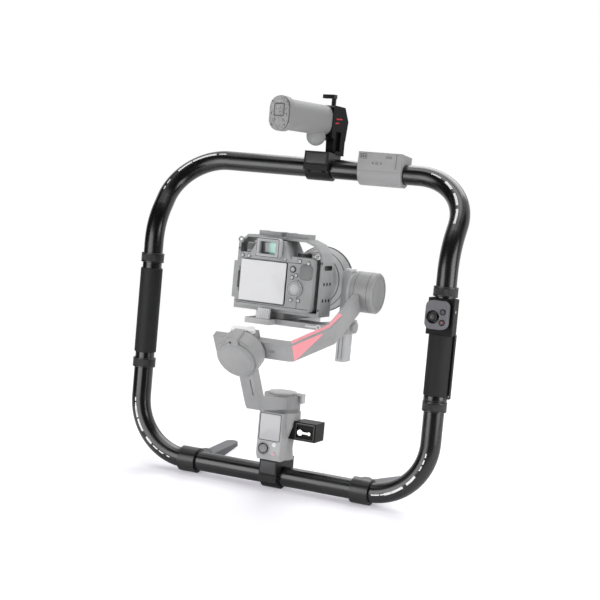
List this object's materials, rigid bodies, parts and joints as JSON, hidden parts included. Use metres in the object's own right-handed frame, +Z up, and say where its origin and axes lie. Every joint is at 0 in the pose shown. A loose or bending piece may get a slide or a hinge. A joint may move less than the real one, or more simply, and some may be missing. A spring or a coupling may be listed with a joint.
{
  "type": "camera gimbal ring rig",
  "caption": "Leaning black tube ring rig with side grips and folding legs, carrying a grey three-axis gimbal, a caged camera, a top battery handle and a module box",
  "frame": {"origin": "middle of the floor flat under the base clamp, at floor level", "axes": "+X to the right of the person holding the ring, +Y away from them (the way the lens looks), +Z up"},
  "size_m": [0.524, 0.3521, 0.5829],
  "materials": {
    "black_tube": "satin black anodised tube",
    "black_rubber": "fine-textured black rubber",
    "charcoal_rubber": "moulded charcoal grip",
    "black_metal": "black anodised machined metal",
    "grey_head": "mid grey satin plastic",
    "black_plastic": "black satin plastic",
    "leg_black": "dark grey coated metal",
    "steel": "bright steel",
    "dark_steel": "blackened steel",
    "pale_grey": "satin pale grey",
    "pale_light": "satin light grey",
    "display": "pale glossy display",
    "white_cap": "white plastic",
    "camera_grey": "grained dark grey",
    "cage_grey": "satin grey cage",
    "grip_grey": "satin grey plastic",
    "record_white": "pale button"
  },
  "bodies": {
    "ring": {"bottom_tube": "black_tube", "top_tube": "black_tube", "left_grip_tube": "black_tube", "right_grip_tube": "black_tube", "left_grip_sleeve": "black_rubber", "right_grip_sleeve": "charcoal_rubber", "control_bracket": "black_plastic", "control_head": "grey_head", "left_leg_collar": "black_metal", "right_leg_collar": "black_metal", "fasteners": "dark_steel", "base_clamp_block": "black_metal", "base_clamp_cap": "black_metal", "gimbal_handle": "pale_grey", "handle_display": "display", "side_bracket": "black_metal", "pan_motor": "grip_grey", "top_clamp_block": "black_metal", "top_clamp_cap": "black_metal", "grip_adapter": "black_plastic", "battery_grip": "grip_grey", "module_box": "pale_grey"},
    "upper_left_lock_ring": {"upper_left_lock_ring": "black_metal"},
    "lower_left_lock_ring": {"lower_left_lock_ring": "black_metal"},
    "upper_right_lock_ring": {"upper_right_lock_ring": "black_metal"},
    "lower_right_lock_ring": {"lower_right_lock_ring": "black_metal"},
    "control_stick_cross": {"control_stick_cross": "steel"},
    "control_stick": {"control_stick": "black_plastic"},
    "handle_stick_cross": {"handle_stick_cross": "steel"},
    "handle_stick": {"handle_stick": "grip_grey"},
    "control_mode_button": {"control_mode_button": "black_plastic"},
    "control_record_button": {"control_record_button": "record_white"},
    "handle_mode_button": {"handle_mode_button": "record_white"},
    "handle_record_button": {"handle_record_button": "record_white"},
    "left_leg": {"left_leg": "leg_black"},
    "right_leg": {"right_leg": "leg_black"},
    "handle_trigger": {"handle_trigger": "grip_grey"},
    "wing_screw": {"wing_screw": "steel"},
    "thumb_lever": {"thumb_lever": "black_plastic"},
    "pan": {"pan_arm": "pale_grey", "roll_motor": "pale_grey"},
    "pan_lock_lever": {"pan_lock_lever": "grip_grey"},
    "roll": {"roll_clamp": "grip_grey"},
    "roll_lock_lever": {"roll_lock_lever": "pale_light"},
    "roll_arm": {"roll_arm": "pale_grey", "tilt_motor": "grip_grey"},
    "tilt": {"tilt_post": "pale_grey"},
    "tilt_lock_lever": {"tilt_lock_lever": "white_cap"},
    "base_plate": {"base_plate": "pale_light"},
    "plate_latch": {"plate_latch": "pale_light"},
    "camera": {"slide_plate": "grip_grey", "camera_cage": "cage_grey", "camera_body": "camera_grey", "eyecup": "camera_grey", "lens_barrel": "camera_grey"},
    "camera_screen": {"camera_screen": "display"},
    "focus_ring": {"focus_ring": "camera_grey"},
    "rear_wheel": {"rear_wheel": "camera_grey"},
    "mode_dial": {"mode_dial": "camera_grey"},
    "shutter_button": {"shutter_button": "record_white"}
  },
  "joints": [
    {"name": "upper_left_lock_turn", "type": "hinge", "parent": "ring", "child": "upper_left_lock_ring", "pos_m": [-0.243, 0.0654, 0.31895], "axis": [0, 0.213, 0.977], "range_deg": [-90, 90]},
    {"name": "lower_left_lock_turn", "type": "hinge", "parent": "ring", "child": "lower_left_lock_ring", "pos_m": [-0.243, 0.03004, 0.15676], "axis": [0, 0.213, 0.977], "range_deg": [-90, 90]},
    {"name": "upper_right_lock_turn", "type": "hinge", "parent": "ring", "child": "upper_right_lock_ring", "pos_m": [0.243, 0.0654, 0.31895], "axis": [0, 0.213, 0.977], "range_deg": [-90, 90]},
    {"name": "lower_right_lock_turn", "type": "hinge", "parent": "ring", "child": "lower_right_lock_ring", "pos_m": [0.243, 0.03004, 0.15676], "axis": [0, 0.213, 0.977], "range_deg": [-90, 90]},
    {"name": "control_stick_up_down", "type": "hinge", "parent": "ring", "child": "control_stick_cross", "pos_m": [0.2364, 0.03648, 0.28867], "axis": [1, 0, 0], "range_deg": [-12, 12], "stiffness_Nm_per_rad": 0.05},
    {"name": "control_stick_left_right", "type": "hinge", "parent": "control_stick_cross", "child": "control_stick", "pos_m": [0.2364, 0.03648, 0.28867], "axis": [0, 0.213, 0.977], "range_deg": [-12, 12], "stiffness_Nm_per_rad": 0.05},
    {"name": "handle_stick_up_down", "type": "hinge", "parent": "ring", "child": "handle_stick_cross", "pos_m": [-0.008, -0.01399, 0.06657], "axis": [1, 0, 0], "range_deg": [-12, 12], "stiffness_Nm_per_rad": 0.05},
    {"name": "handle_stick_left_right", "type": "hinge", "parent": "handle_stick_cross", "child": "handle_stick", "pos_m": [-0.008, -0.01399, 0.06657], "axis": [0, 0.213, 0.977], "range_deg": [-12, 12], "stiffness_Nm_per_rad": 0.05},
    {"name": "control_mode_press", "type": "slide", "parent": "ring", "child": "control_mode_button", "axis": [0, 0.977, -0.213], "range_m": [0, 0.0008], "stiffness_N_per_m": 300},
    {"name": "control_record_press", "type": "slide", "parent": "ring", "child": "control_record_button", "axis": [0, 0.977, -0.213], "range_m": [0, 0.0008], "stiffness_N_per_m": 300},
    {"name": "handle_mode_press", "type": "slide", "parent": "ring", "child": "handle_mode_button", "axis": [0, 0.977, -0.213], "range_m": [0, 0.0008], "stiffness_N_per_m": 300},
    {"name": "handle_record_press", "type": "slide", "parent": "ring", "child": "handle_record_button", "axis": [0, 0.977, -0.213], "range_m": [0, 0.0008], "stiffness_N_per_m": 300},
    {"name": "left_leg_fold", "type": "hinge", "parent": "ring", "child": "left_leg", "pos_m": [-0.137, 0.0315, 0.008], "axis": [0, 0, -1], "range_deg": [-32, 90]},
    {"name": "right_leg_fold", "type": "hinge", "parent": "ring", "child": "right_leg", "pos_m": [0.137, 0.0315, 0.008], "axis": [0, 0, 1], "range_deg": [0, 122]},
    {"name": "trigger_pull", "type": "hinge", "parent": "ring", "child": "handle_trigger", "pos_m": [0, 0.03744, 0.09681], "axis": [-1, 0, 0], "range_deg": [0, 10], "stiffness_Nm_per_rad": 0.3},
    {"name": "wing_screw_turn", "type": "hinge", "parent": "ring", "child": "wing_screw", "pos_m": [0.04, 0.01042, 0.09024], "axis": [0, 0.977, -0.213], "range_deg": [-20, 14]},
    {"name": "thumb_lever_turn", "type": "hinge", "parent": "ring", "child": "thumb_lever", "pos_m": [0.00787, 0.19887, 0.55515], "axis": [0, 0.213, 0.977], "range_deg": [-60, 60]},
    {"name": "pan_turn", "type": "hinge", "parent": "ring", "child": "pan", "pos_m": [0, 0.02802, 0.11933], "axis": [0, 0.213, 0.977], "continuous": true},
    {"name": "pan_lock_turn", "type": "hinge", "parent": "pan", "child": "pan_lock_lever", "pos_m": [0, 0.03234, 0.13917], "axis": [0, 0.213, 0.977], "range_deg": [-35, 45]},
    {"name": "roll_turn", "type": "hinge", "parent": "pan", "child": "roll", "pos_m": [0, -0.09322, 0.24622], "axis": [0, 0.9432, 0.3322], "range_deg": [-90, 220]},
    {"name": "roll_lock_turn", "type": "hinge", "parent": "roll", "child": "roll_lock_lever", "pos_m": [0.012, -0.09328, 0.27196], "axis": [0, 0.3322, -0.9432], "range_deg": [0, 60]},
    {"name": "roll_arm_slide", "type": "slide", "parent": "roll", "child": "roll_arm", "axis": [1, 0, 0], "range_m": [-0.02, 0.02]},
    {"name": "tilt_turn", "type": "hinge", "parent": "roll_arm", "child": "tilt", "pos_m": [0.103, 0.06807, 0.30302], "axis": [1, 0, 0], "range_deg": [-110, 200]},
    {"name": "tilt_lock_turn", "type": "hinge", "parent": "tilt", "child": "tilt_lock_lever", "pos_m": [0.09175, 0.07403, 0.33038], "axis": [0, 0.213, 0.977], "range_deg": [-30, 30]},
    {"name": "base_plate_lift", "type": "slide", "parent": "tilt", "child": "base_plate", "axis": [0, 0.213, 0.977], "range_m": [-0.015, 0.01]},
    {"name": "plate_latch_swing", "type": "hinge", "parent": "base_plate", "child": "plate_latch", "pos_m": [-0.013, -0.02417, 0.27196], "axis": [0, -0.213, -0.977], "range_deg": [0, 90]},
    {"name": "camera_slide", "type": "slide", "parent": "base_plate", "child": "camera", "axis": [0, 0.977, -0.213], "range_m": [0, 0.015]},
    {"name": "camera_screen_open", "type": "hinge", "parent": "camera", "child": "camera_screen", "pos_m": [-0.0535, -0.00574, 0.32269], "axis": [0, -0.213, -0.977], "range_deg": [0, 165]},
    {"name": "focus_turn", "type": "hinge", "parent": "camera", "child": "focus_ring", "pos_m": [-0.004, 0.08661, 0.30358], "axis": [0, 0.977, -0.213], "range_deg": [-90, 90]},
    {"name": "rear_wheel_turn", "type": "hinge", "parent": "camera", "child": "rear_wheel", "pos_m": [0.039, -0.00846, 0.31817], "axis": [0, 0.977, -0.213], "continuous": true},
    {"name": "mode_dial_turn", "type": "hinge", "parent": "camera", "child": "mode_dial", "pos_m": [0.04, 0.02468, 0.35751], "axis": [0, 0.213, 0.977], "continuous": true},
    {"name": "shutter_press", "type": "slide", "parent": "camera", "child": "shutter_button", "axis": [0, -0.213, -0.977], "range_m": [0, 0.0008], "stiffness_N_per_m": 300}
  ]
}
